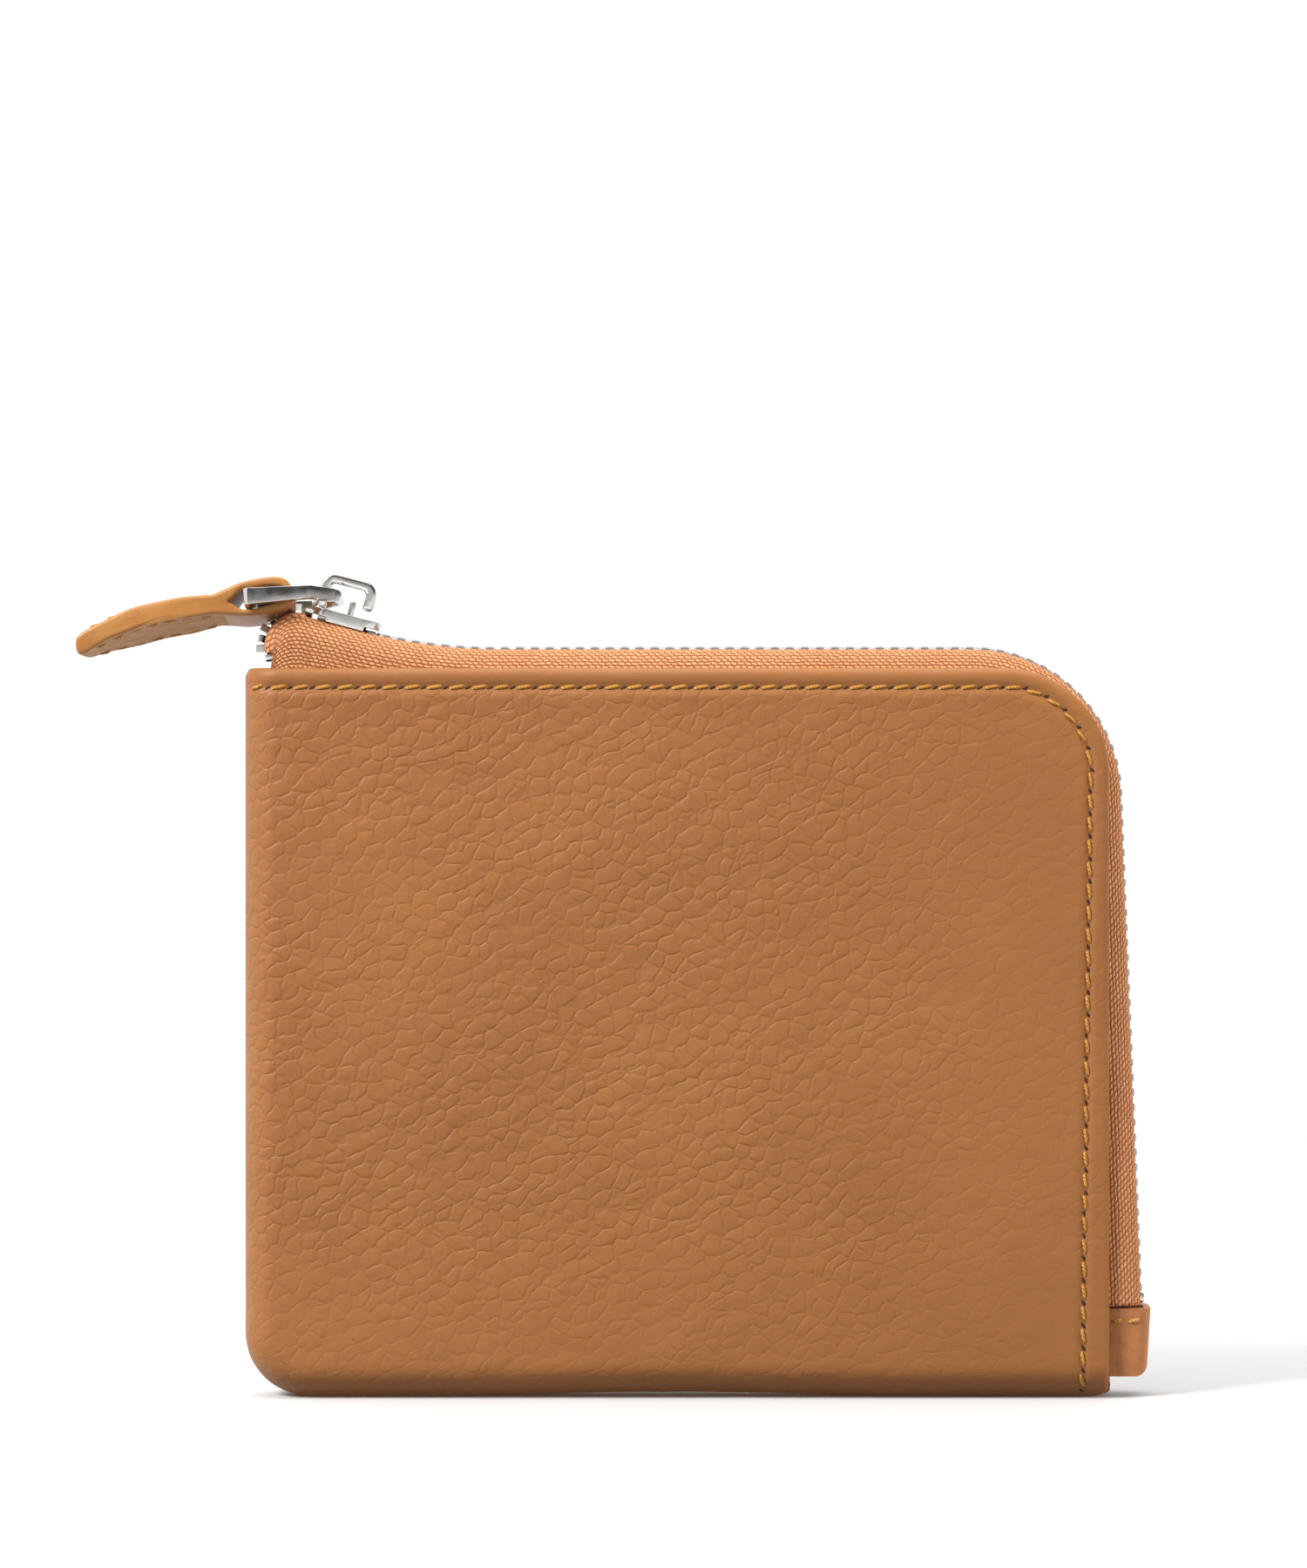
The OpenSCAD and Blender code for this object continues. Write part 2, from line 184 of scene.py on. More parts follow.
# ---------------------------------------------------------------- materials
class Shader:
    """A small wrapper that keeps node graphs readable."""

    def __init__(self, name):
        self.material = bpy.data.materials.new(name)
        self.material.use_nodes = True
        self.tree = self.material.node_tree
        self.bsdf = self.tree.nodes["Principled BSDF"]

    def node(self, kind, **settings):
        made = self.tree.nodes.new(kind)
        for key, value in settings.items():
            if key.startswith("in_"):
                made.inputs[int(key[3:])].default_value = value
            else:
                setattr(made, key, value)
        return made

    def link(self, source, target):
        self.tree.links.new(source, target)
        return target

    def math(self, operation, a, b=0.0, clamp=False):
        made = self.node("ShaderNodeMath", operation=operation, use_clamp=clamp)
        for socket, value in zip(made.inputs, (a, b)):
            if isinstance(value, (int, float)):
                socket.default_value = value
            else:
                self.link(value, socket)
        return made.outputs[0]

    def ramp(self, source, low, high, from_value=0.0, to_value=1.0):
        made = self.node("ShaderNodeMapRange", interpolation_type="SMOOTHSTEP")
        self.link(source, made.inputs[0])
        for i, value in enumerate((low, high, from_value, to_value)):
            made.inputs[i + 1].default_value = value
        return made.outputs[0]

    def mix(self, factor, a, b):
        made = self.node("ShaderNodeMix", data_type="RGBA")
        for socket, value in zip((made.inputs[0], made.inputs[6], made.inputs[7]), (factor, a, b)):
            if isinstance(value, (int, float)):
                socket.default_value = value
            elif isinstance(value, tuple):
                socket.default_value = (*value, 1.0)
            else:
                self.link(value, socket)
        return made.outputs[2]

    def position(self, turn=(0, 0, 0), scale=(1, 1, 1)):
        """Place on the object, in millimetres, turned and scaled."""
        coords = self.node("ShaderNodeTexCoord")
        mapping = self.node("ShaderNodeMapping")
        mapping.inputs["Rotation"].default_value = [math.radians(a) for a in turn]
        mapping.inputs["Scale"].default_value = [s / MM for s in scale]
        self.link(coords.outputs["Object"], mapping.inputs["Vector"])
        return mapping.outputs["Vector"]

    def axis(self, name):
        split = self.node("ShaderNodeSeparateXYZ")
        self.link(self.position(), split.inputs[0])
        return split.outputs[name]

    def noise(self, vector, size, detail=3.0, rough=0.5):
        made = self.node("ShaderNodeTexNoise")
        made.inputs["Scale"].default_value = 1.0 / size
        made.inputs["Detail"].default_value = detail
        made.inputs["Roughness"].default_value = rough
        self.link(vector, made.inputs["Vector"])
        return made.outputs["Fac"]

    def cells(self, vector, size, scatter=1.0, feature="DISTANCE_TO_EDGE"):
        """Distance from the edge of an irregular cell, or from its middle with SMOOTH_F1."""
        made = self.node("ShaderNodeTexVoronoi", feature=feature)
        made.inputs["Scale"].default_value = 1.0 / size
        if feature == "SMOOTH_F1":
            made.inputs["Smoothness"].default_value = 0.22
        made.inputs["Randomness"].default_value = scatter
        self.link(vector, made.inputs["Vector"])
        return made.outputs["Distance"]

    def bump(self, height, depth, below=None):
        """Adds relief whose full height is depth, in millimetres."""
        made = self.node("ShaderNodeBump")
        made.inputs["Strength"].default_value = 1.0
        made.inputs["Distance"].default_value = depth * MM
        self.link(height, made.inputs["Height"])
        if below is not None:
            self.link(below, made.inputs["Normal"])
        return made.outputs["Normal"]

    def finish(self, colour, rough, normal=None, metal=0.0, specular=0.5):
        for socket, value in ((self.bsdf.inputs["Base Color"], colour),
                              (self.bsdf.inputs["Roughness"], rough)):
            if isinstance(value, tuple):
                socket.default_value = (*value, 1.0)
            elif isinstance(value, float):
                socket.default_value = value
            else:
                self.link(value, socket)
        self.bsdf.inputs["Metallic"].default_value = metal
        self.bsdf.inputs["Specular IOR Level"].default_value = specular
        if normal is not None:
            self.link(normal, self.bsdf.inputs["Normal"])
        return self.material


def srgb(r, g, b):
    """A linear colour from screen values of 0 to 255."""
    return tuple(((c / 255 + 0.055) / 1.055) ** 2.4 if c > 10 else c / 3294.6 for c in (r, g, b))


PEBBLE = 2.15      # size of a cell of the hide's grain


def grained_leather(name, light, dark, depth=0.17):
    """Pebbled hide. Domed cells about 2 mm across lie along a rising diagonal, with longer
    creases through them, and all of it fades out towards the hems."""
    s = Shader(name)
    place = s.position()
    warp = s.node("ShaderNodeTexNoise")
    warp.inputs["Scale"].default_value = 1 / 7.0
    warp.inputs["Detail"].default_value = 2.0
    s.link(place, warp.inputs["Vector"])
    curl = s.node("ShaderNodeTexNoise")
    curl.inputs["Scale"].default_value = 1 / 1.5
    curl.inputs["Detail"].default_value = 1.0
    s.link(place, curl.inputs["Vector"])
    curled = s.node("ShaderNodeVectorMath", operation="MULTIPLY_ADD")
    s.link(curl.outputs["Color"], curled.inputs[0])
    curled.inputs[1].default_value = (0.95, 0.95, 0.95)
    s.link(place, curled.inputs[2])
    layers = []
    for turn, scale, wander in ((28, (0.9, 1, 1.06), 2.6), (24, (0.9, 1, 1), 1.6),
                                (31, (0.30, 1, 1), 3.0)):
        shift = s.node("ShaderNodeVectorMath", operation="MULTIPLY_ADD")
        s.link(warp.outputs["Color"], shift.inputs[0])
        shift.inputs[1].default_value = (wander, wander, wander)
        turned = s.node("ShaderNodeVectorRotate", rotation_type="Y_AXIS")
        turned.inputs["Angle"].default_value = math.radians(turn)
        s.link(curled.outputs[0], turned.inputs["Vector"])
        stretch = s.node("ShaderNodeVectorMath", operation="MULTIPLY")
        s.link(turned.outputs[0], stretch.inputs[0])
        stretch.inputs[1].default_value = scale
        s.link(stretch.outputs[0], shift.inputs[2])
        layers.append(shift.outputs[0])
    cells = s.cells(layers[0], PEBBLE, 0.78)
    from_middle = s.cells(layers[0], PEBBLE, 0.78, "SMOOTH_F1")
    small, long = s.cells(layers[1], 1.1), s.cells(layers[2], 4.2, 0.9)
    dome = s.math("ADD", s.math("MULTIPLY", s.ramp(cells, -0.02, 0.15), 0.52),
                  s.math("MULTIPLY", s.ramp(from_middle, 0.05, 0.75, 1.0, 0.0), 0.48))
    pebble = s.ramp(small, 0.0, 0.3)
    crease = s.ramp(long, -0.04, 0.20)
    patches = s.noise(place, 13.0, 3.0)
    strength = s.ramp(patches, 0.32, 0.58, 0.7, 1.0)
    right_fade = s.ramp(s.axis("X"), HALF_W - 40, HALF_W - 5, 1.0, 0.35)
    low_fade = s.ramp(s.axis("Z"), 2.0, 26.0, 0.45, 1.0)
    top_fade = s.ramp(s.axis("Z"), PANEL_H - 4.0, PANEL_H - 2.4, 1.0, 0.15)
    for fade in (right_fade, low_fade, top_fade):
        strength = s.math("MULTIPLY", strength, fade)
    both = s.math("ADD", s.math("MULTIPLY", dome, 0.76),
                  s.math("ADD", s.math("MULTIPLY", pebble, 0.04), s.math("MULTIPLY", crease, 0.20)))
    relief = s.math("MULTIPLY", both, strength)
    pores = s.noise(place, 0.20, 2.0, 0.6)
    normal = s.bump(relief, depth)
    normal = s.bump(s.noise(place, 4.0, 2.0), 0.15, normal)
    normal = s.bump(pores, 0.022, normal)
    tone = s.noise(place, 30.0, 3.0)
    colour = s.mix(s.ramp(tone, 0.3, 0.7), light, dark)
    # Painted shade: the valleys between the grain's domes and creases are darkened, more where the
    # relief is stronger.
    valley_painted_shade = s.math("MULTIPLY", s.math("SUBTRACT", 1.0, both), s.math("MULTIPLY", strength, 0.10))
    colour = s.mix(valley_painted_shade, colour, tuple(c * 0.66 for c in dark))
    rough = s.ramp(s.noise(place, 3.0, 2.0), 0.3, 0.7, 0.46, 0.56)
    return s.finish(colour, rough, normal, specular=0.3)


def smooth_leather(name, light, dark, rough=0.5, grain=0.05):
    """Smooth or painted leather with a faint mottle."""
    s = Shader(name)
    place = s.position()
    tone = s.ramp(s.noise(place, 4.0, 4.0), 0.3, 0.7)
    colour = s.mix(tone, light, dark)
    normal = s.bump(s.noise(place, 0.5, 3.0, 0.6), grain)
    normal = s.bump(s.noise(place, 2.2, 2.0), grain * 2.0, normal)
    return s.finish(colour, rough, normal, specular=0.4)


def raw_leather(name, light, dark):
    """The fibrous back of a strap, with grain along its length."""
    s = Shader(name)
    place = s.position(turn=(0, -11, 0), scale=(0.16, 1, 1))
    tone = s.ramp(s.noise(place, 0.7, 4.0, 0.65), 0.3, 0.72)
    colour = s.mix(tone, light, dark)
    normal = s.bump(s.noise(place, 0.45, 4.0, 0.7), 0.12)
    return s.finish(colour, 0.75, normal, specular=0.25)


def woven_tape(name, light, dark):
    """A coarse twill. Rows of short slanted strands run along the tape, each row set half a
    strand on from the last. Its UV map is in millimetres: along the tape, then across it."""
    s = Shader(name)
    uv = s.node("ShaderNodeUVMap", uv_map="weave")
    wander = s.node("ShaderNodeTexNoise")
    wander.inputs["Scale"].default_value = 0.9
    s.link(uv.outputs[0], wander.inputs["Vector"])
    moved = s.node("ShaderNodeVectorMath", operation="MULTIPLY_ADD")
    s.link(wander.outputs["Color"], moved.inputs[0])
    moved.inputs[1].default_value = (0.55, 0.35, 0.0)
    s.link(uv.outputs[0], moved.inputs[2])
    split = s.node("ShaderNodeSeparateXYZ")
    s.link(moved.outputs[0], split.inputs[0])
    rows = s.math("DIVIDE", split.outputs["Y"], STRAND_H)
    row = s.math("FLOOR", rows)
    within = s.math("FRACT", rows)
    set_on = s.math("MULTIPLY", s.math("MODULO", row, 2.0), 0.5)
    slant = s.math("MULTIPLY", within, 0.42)
    turns = s.math("ADD", s.math("ADD", s.math("DIVIDE", split.outputs["X"], STRAND_L), set_on),
                   slant)
    strand = s.math("ABSOLUTE", s.math("SINE", s.math("MULTIPLY", turns, math.pi)))
    round_row = s.math("SINE", s.math("MULTIPLY", within, math.pi))
    relief = s.math("MULTIPLY", s.math("POWER", strand, 0.7), s.math("POWER", round_row, 0.6))
    fibres = s.noise(uv.outputs[0], 0.12, 2.0, 0.7)
    normal = s.bump(fibres, 0.05, s.bump(relief, 0.26))
    worn = s.ramp(s.noise(uv.outputs[0], 5.0, 2.0), 0.3, 0.7, 0.82, 1.0)
    # Painted shade: the gaps between strands are darker and their raised middles lighter; worn adds
    # random tone.
    colour = s.mix(s.math("MULTIPLY", s.ramp(relief, 0.15, 0.85), worn), dark, light)
    return s.finish(colour, 0.85, normal, specular=0.15)


def plain_weave(name, light, dark):
    """A fine lining cloth with threads along X and Z."""
    s = Shader(name)
    waves = []
    for direction in ("X", "Z"):
        wave = s.node("ShaderNodeTexWave", wave_type="BANDS", bands_direction=direction)
        wave.inputs["Scale"].default_value = 0.7
        wave.inputs["Distortion"].default_value = 0.4
        s.link(s.position(), wave.inputs["Vector"])
        waves.append(wave.outputs["Fac"])
    relief = s.math("MAXIMUM", waves[0], waves[1])
    # Painted shade: the gaps between threads are darker and the raised threads lighter, over random
    # tone.
    tone = s.math("MULTIPLY", relief, s.ramp(s.noise(s.position(), 9.0), 0.3, 0.7, 0.75, 1.0))
    normal = s.bump(relief, 0.1)
    return s.finish(s.mix(tone, dark, light), 0.85, normal, specular=0.2)


def polished_metal(name, colour, rough, worn=0.08):
    """Plated metal with soft smears and fine rubbing."""
    s = Shader(name)
    place = s.position()
    smear = s.ramp(s.noise(place, 1.6, 4.0), 0.3, 0.75, rough, rough + worn)
    normal = s.bump(s.noise(s.position(scale=(0.3, 1, 1)), 0.25, 2.0), 0.006)
    normal = s.bump(s.noise(place, 1.8, 1.0), 0.05, normal)
    return s.finish(colour, smear, normal, metal=1.0)


def sewing_thread(name, light, dark):
    """Twisted thread, with a painted highlight on top of each ply and painted shade between the
    plies.
    """
    s = Shader(name)
    wave = s.node("ShaderNodeTexWave", wave_type="BANDS", bands_direction="DIAGONAL")
    wave.inputs["Scale"].default_value = 1.3
    s.link(s.position(), wave.inputs["Vector"])
    # Painted highlight on the plies' tops and painted shade between them, over random tone.
    tone = s.math("MULTIPLY", wave.outputs["Fac"],
                  s.ramp(s.noise(s.position(), 2.0), 0.3, 0.7, 0.6, 1.0))
    normal = s.bump(wave.outputs["Fac"], 0.08)
    return s.finish(s.mix(tone, dark, light), 0.6, normal, specular=0.35)


STRAND_L, STRAND_H = 0.88, 0.47      # one strand of the zip tape's weave
LEATHER = grained_leather("pebbled_leather", srgb(160, 105, 57), srgb(152, 98, 53))
TAB_LEATHER = smooth_leather("tab_leather", srgb(188, 124, 74), srgb(176, 113, 68), 0.5, 0.10)
EDGE_PAINT = smooth_leather("edge_paint", srgb(176, 122, 63), srgb(164, 108, 52), 0.36, 0.03)
STRAP_FACE = smooth_leather("strap_leather", srgb(184, 126, 70), srgb(170, 112, 58), 0.45, 0.06)
# The strap's underside: its own fibrous back, with its colour raised further as painted light from
# below.
STRAP_UNDERSIDE_PAINTED_LIGHT = raw_leather("strap_underside_painted_light", srgb(228, 186, 146), srgb(204, 154, 114))
TAPE = woven_tape("zip_tape_weave", srgb(236, 172, 122), srgb(184, 108, 68))
LINING = plain_weave("lining_cloth", srgb(150, 112, 78), srgb(98, 68, 44))
NICKEL = polished_metal("polished_nickel", (0.66, 0.64, 0.61), 0.15)
TEETH_METAL = polished_metal("zip_teeth_nickel", (0.42, 0.41, 0.39), 0.24, 0.12)
THREAD = sewing_thread("golden_thread", srgb(224, 172, 82), srgb(178, 116, 46))
# Painted shade: the dark slits stand in for the shade inside the needle holes.
PAINTED_SHADE_HOLE = smooth_leather("stitch_hole_painted_shade", srgb(78, 44, 24), srgb(58, 32, 18), 0.8, 0.02)

# ---------------------------------------------------------------- leather panels
EDGE_STEPS = [0, 0.1, 0.25, 0.45, 0.7, 1.0, 1.35, 1.7, 2.0, 2.25, 2.5, 2.75, 3.0, 3.3, 3.7,
              4.2, 4.8, 5.6, 6.6]
PANEL_STEP = 1.1


def graded(length):
    """Distances across a panel, close together near both edges."""
    inner = length - 2 * EDGE_STEPS[-1]
    count = round(inner / PANEL_STEP)
    middle = [EDGE_STEPS[-1] + inner * i / count for i in range(1, count)]
    return np.array(EDGE_STEPS + middle + [length - d for d in reversed(EDGE_STEPS)])


def rounded_plan(xs, zs, left, bottom, right, top, radii):
    """A grid over a rectangle whose corners are pulled in to arcs. radii are the bottom left,
    bottom right, top right and top left."""
    across = (xs - xs[0]) / (xs[-1] - xs[0]) * (right - left) + left
    up = (zs - zs[0]) / (zs[-1] - zs[0]) * (top - bottom) + bottom
    x, z = np.meshgrid(across, up, indexing="ij")
    corners = ((left, bottom, 1, 1), (right, bottom, -1, 1), (right, top, -1, -1),
               (left, top, 1, -1))
    for r, (corner_x, corner_z, to_x, to_z) in zip(radii, corners):
        centre_x, centre_z = corner_x + to_x * r, corner_z + to_z * r
        a, b = (centre_x - x) * to_x, (centre_z - z) * to_z
        inside = (a > 0) & (b > 0)
        pull = np.where(inside, np.maximum(a, b) / np.maximum(np.hypot(a, b), 1e-9), 1.0)
        x = np.where(inside, centre_x - to_x * a * pull, x)
        z = np.where(inside, centre_z - to_z * b * pull, z)
    return x, z


def rounding(distance, radius):
    """Height of a round edge, 0 at the edge and 1 past its radius."""
    return np.sqrt(np.clip(1 - (1 - np.clip(distance / radius, 0, 1)) ** 2, 0, 1))


SEAM_V = 1.0          # how far the leather stands off the seam at its outermost
SEWN_ROUND = 4.4
TURNED_ROUND = 0.95
PUFF = 0.85
BACK_OUT = 0.9        # the back stands further out than the front at the bottom right


def stitch_inset_at(z):
    """The row runs closer to the middle towards the bottom of the side."""
    return STITCH_INSET + 1.1 * np.clip(1 - z / (PANEL_H - ZIP_CORNER_R), 0, 1)


def relief_at(x, z, seed):
    """Slow swells and soft creases of a hide, in millimetres."""
    slow = rolled((x, z, 0), 26.0, seed)
    creased = rolled((x + 0.6 * z, z - 0.5 * x, 3), 8.0, seed + 1)
    small = rolled((x * 0.7 + z * 0.6, z - x * 0.7, 5), 3.2, seed + 2)
    calm = min(1.0, max(0.25, (HALF_W - x) / 40))
    return 0.22 * slow + (0.10 * creased + 0.05 * small) * calm


def panel_piece(name, side, seed, material):
    """One leather panel with its turned-in hem. side is -1 for the front and 1 for the back."""
    xs, zs = graded(2 * HALF_W), graded(PANEL_H)
    radii = (SEAM_CORNER_R, 1.3, ZIP_CORNER_R, 1.2)
    x, z = rounded_plan(xs, zs, -HALF_W, 0, HALF_W, PANEL_H, radii)
    to_sewn = np.minimum(*np.meshgrid(xs, zs, indexing="ij"))
    to_zip = np.minimum(*np.meshgrid(xs[-1] - xs, zs[-1] - zs, indexing="ij"))
    swell = np.vectorize(lambda a, b: relief_at(a, b, seed))(x, z)
    bulge = PUFF * (1 - (x / HALF_W) ** 4) * np.sin(np.pi * np.clip(z / PANEL_H, 0, 1)) ** 0.7
    face = HALF_D + bulge + swell * rounding(np.minimum(to_sewn, to_zip), 5.0)
    row = to_zip - stitch_inset_at(z)
    face = face - 0.30 * np.exp(-(row / 0.5) ** 2) + 0.12 * np.exp(-((row + 1.3) / 0.8) ** 2)
    face = face + 0.10 * np.exp(-((row - 1.2) / 0.9) ** 2)
    outer = SEAM_V + (face - SEAM_V) * rounding(to_sewn, SEWN_ROUND)
    outer = outer - TURNED_ROUND * (1 - rounding(to_zip, TURNED_ROUND))
    outer = np.maximum(outer, SEAM_V * 0.6)
    hem = np.clip((HEM_W + 0.6 - to_zip) / 1.2, 0, 1)
    depth = LEATHER_T + (HEM_T - LEATHER_T) * hem * hem * (3 - 2 * hem)
    inner = np.minimum(face, HALF_D) - depth
    edge_v = HALF_D - TURNED_ROUND
    inner = edge_v - (edge_v - inner) * rounding(to_zip, TURNED_ROUND)
    inner = 0.05 + (inner - 0.05) * rounding(to_sewn, SEWN_ROUND - LEATHER_T)
    inset = 1.1
    in_x, in_z = rounded_plan(xs, zs, -HALF_W + inset, inset, HALF_W - 0.03, PANEL_H - 0.03,
                              (SEAM_CORNER_R - inset, 1.0, ZIP_CORNER_R, 1.0))
    arch = 0.45 * np.clip(1 - (x / 34) ** 2, 0, 1) ** 2 * np.clip(1 - z / 14, 0, 1)
    nx, nz = x.shape
    count = nx * nz
    out_low = ((BACK_OUT if side > 0 else 0.0) * np.clip(1 - z / 30, 0, 1)
               * np.clip(x / HALF_W, 0, 1))
    x, in_x = x + out_low, in_x + out_low
    points = [(x[i, j], side * outer[i, j], z[i, j] + arch[i, j])
              for i in range(nx) for j in range(nz)]
    points += [(in_x[i, j], side * inner[i, j], in_z[i, j] + arch[i, j])
               for i in range(nx) for j in range(nz)]
    faces, rim = layer_faces(nx, nz)
    middle = len(points)
    for k in rim:
        out_p, in_p = np.array(points[k]), np.array(points[k + count])
        half = (out_p + in_p) / 2
        half[1] = side * (0.22 * abs(out_p[1]) + 0.78 * abs(in_p[1]))
        half[0], half[2] = 0.72 * out_p[0] + 0.28 * in_p[0], 0.72 * out_p[2] + 0.28 * in_p[2]
        points.append(tuple(half))
    for n, k in enumerate(rim):
        m = (n + 1) % len(rim)
        faces.append([k, rim[m], middle + m, middle + n])
        faces.append([middle + n, middle + m, rim[m] + count, k + count])
    return make_mesh(name, points, faces, material)


def across_fold(piece, below=-FOLD_SOFT, above=FOLD_SOFT):
    """Bakes the piece's placement into its mesh; below and above are not used."""
    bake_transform(piece)


front_leather = panel_piece("front_leather", -1, 1, LEATHER)
across_fold(front_leather)
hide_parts("front_panel_lower", "front_panel_flap")

back_leather = panel_piece("back_leather", 1, 4, LEATHER)
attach(back_leather, "root")
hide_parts("back_panel")


# ---------------------------------------------------------------- stitches
STITCH_L = 2.3
STITCH_R = 0.24


def on_surface(along, out, slant):
    """Three directions at a place on the leather: along the row, leaning by slant degrees in
    the surface, then sideways to that, then out."""
    out, along = Vector(out).normalized(), Vector(along)
    along = (along - out * along.dot(out)).normalized()
    along = Matrix.Rotation(math.radians(slant), 3, out) @ along
    return along, out.cross(along), out


def thread_stitch(centre, along, out, length=STITCH_L, radius=STITCH_R, slant=11.0, lift=0.16):
    """One thread arched between two needle holes, as (points, faces). Its ends dip into the
    leather, and it leans by slant degrees in the leather's surface."""
    along, sideways, out = on_surface(along, out, slant)
    rings, sides = 8, 8
    points = []
    for i in range(rings + 1):
        t = i / rings
        height = lift - 0.85 * radius * 2 * (abs(2 * t - 1) ** 5)
        swell = radius * (0.55 + 0.45 * math.sin(math.pi * min(max(t, 0.02), 0.98)) ** 0.5)
        middle = Vector(centre) + along * (t - 0.5) * length + out * height
        for k in range(sides):
            a = 2 * math.pi * k / sides + t * 1.2
            around = sideways * math.cos(a) + out * 0.8 * math.sin(a)
            points.append(tuple(middle + around * swell))
    return points, tube_faces(rings + 1, sides)


def needle_hole(centre, along, out, length=0.56, width=0.21, slant=38.0):
    """A small slit, dark with painted shade, that leans across the row, as (points, faces)."""
    along, sideways, out = on_surface(along, out, slant)
    sides = 10
    points = [tuple(Vector(centre) + out * 0.05)]
    for height, scale in ((0.05, 1.0), (-0.30, 0.9)):
        for k in range(sides):
            a = 2 * math.pi * k / sides
            points.append(tuple(Vector(centre) + out * height + along * math.cos(a) * length * scale
                                + sideways * math.sin(a) * width * scale))
    faces = [[0, 1 + k, 1 + (k + 1) % sides] for k in range(sides)]
    faces += [[1 + k, 1 + sides + k, 1 + sides + (k + 1) % sides, 1 + (k + 1) % sides]
              for k in range(sides)]
    faces.append([1 + sides + k for k in reversed(range(sides))])
    return points, faces


def surface_finder(piece):
    """Finds where the leather's face is: gives v and the outward normal at (x, z)."""
    from mathutils.bvhtree import BVHTree
    mesh = piece.data
    tree = BVHTree.FromPolygons([tuple(v.co) for v in mesh.vertices],
                                [tuple(p.vertices) for p in mesh.polygons])

    def find(x, z, side):
        start = Vector((x, side * 40.0, z)) * MM
        hit, normal, _, _ = tree.ray_cast(start, Vector((0, -side, 0)))
        return hit / MM, normal if normal.y * side > 0 else -normal
    return find


def row_places():
    """Places along the zip's stitch row, as (x, z, direction in X-Z)."""
    places = []
    radius = ZIP_CORNER_R - STITCH_INSET
    centre_x, centre_z = HALF_W - ZIP_CORNER_R, PANEL_H - ZIP_CORNER_R
    x = -HALF_W + 1.9
    while x < centre_x:
        places.append((x, PANEL_H - STITCH_INSET, (1, 0)))
        x += STITCH_PITCH
    turned = (x - centre_x) / radius
    while turned < math.pi / 2:
        places.append((centre_x + radius * math.sin(turned), centre_z + radius * math.cos(turned),
                       (math.cos(turned), -math.sin(turned))))
        turned += STITCH_PITCH / radius
    z = centre_z - (turned - math.pi / 2) * radius
    while z > 1.9:
        places.append((HALF_W - stitch_inset_at(z), z, (-0.013, -1)))
        z -= STITCH_PITCH
    return places


def stitch_row(name, panel, side):
    """The golden row that holds the hem and the zip tape, and the holes it goes through."""
    find = surface_finder(panel)
    threads, holes = [], []
    for x, z, (dx, dz) in row_places():
        hit, normal = find(x, z, side)
        threads.append(thread_stitch(hit, (dx, 0, dz), normal))
        gap_x, gap_z = x + dx * STITCH_PITCH / 2, z + dz * STITCH_PITCH / 2
        if gap_z > 0.8:
            hit, normal = find(gap_x, gap_z, side)
            holes.append(needle_hole(hit, (dx, 0, dz), normal))
    return joined(name, threads, THREAD), joined(name + "_holes", holes, PAINTED_SHADE_HOLE)


for row_name, panel, row_side, nodes in (
        ("front_stitches", front_leather, -1, ("front_stitching", "front_corner_stitching")),
        ("back_stitches", back_leather, 1, ("back_stitching",))):
    row, row_holes = stitch_row(row_name, panel, row_side)
    for piece in (row, row_holes):
        if row_side < 0:
            across_fold(piece)
        else:
            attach(piece, "root")
    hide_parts(*nodes)

# ---------------------------------------------------------------- the zip's path
SLIDER_TILT = math.radians(15)
CHAIN_RISE = 2.15
TURN_R = 19.5
TURN_X = 39.3
END_R = 3.75
END_X, END_Z = -50.3, 99.9
END_FROM = math.radians(190)
RAMP_R = 70.0
SIDE_LEAN = math.radians(2.3)
SIDE_L = 68.2
CHAIN_TOP = PANEL_H + CHAIN_RISE
TURN_Z = CHAIN_TOP - TURN_R
RAMP_X = END_X + END_R * math.sin(SLIDER_TILT)
RAMP_Z = END_Z + END_R * math.cos(SLIDER_TILT)
RAMP_L = (RAMP_Z - CHAIN_TOP - RAMP_R * (1 - math.cos(SLIDER_TILT))) / math.sin(SLIDER_TILT)
LEVEL_X = RAMP_X + RAMP_L * math.cos(SLIDER_TILT) + RAMP_R * math.sin(SLIDER_TILT)
S_END = END_R * (END_FROM - math.pi / 2 + SLIDER_TILT)
S_RAMP = S_END + RAMP_L
S_DIP = S_RAMP + RAMP_R * SLIDER_TILT
S_TOP = S_DIP + TURN_X - LEVEL_X
S_TURN = S_TOP + TURN_R * (math.pi / 2 - SIDE_LEAN)
S_SIDE = S_TURN + SIDE_L


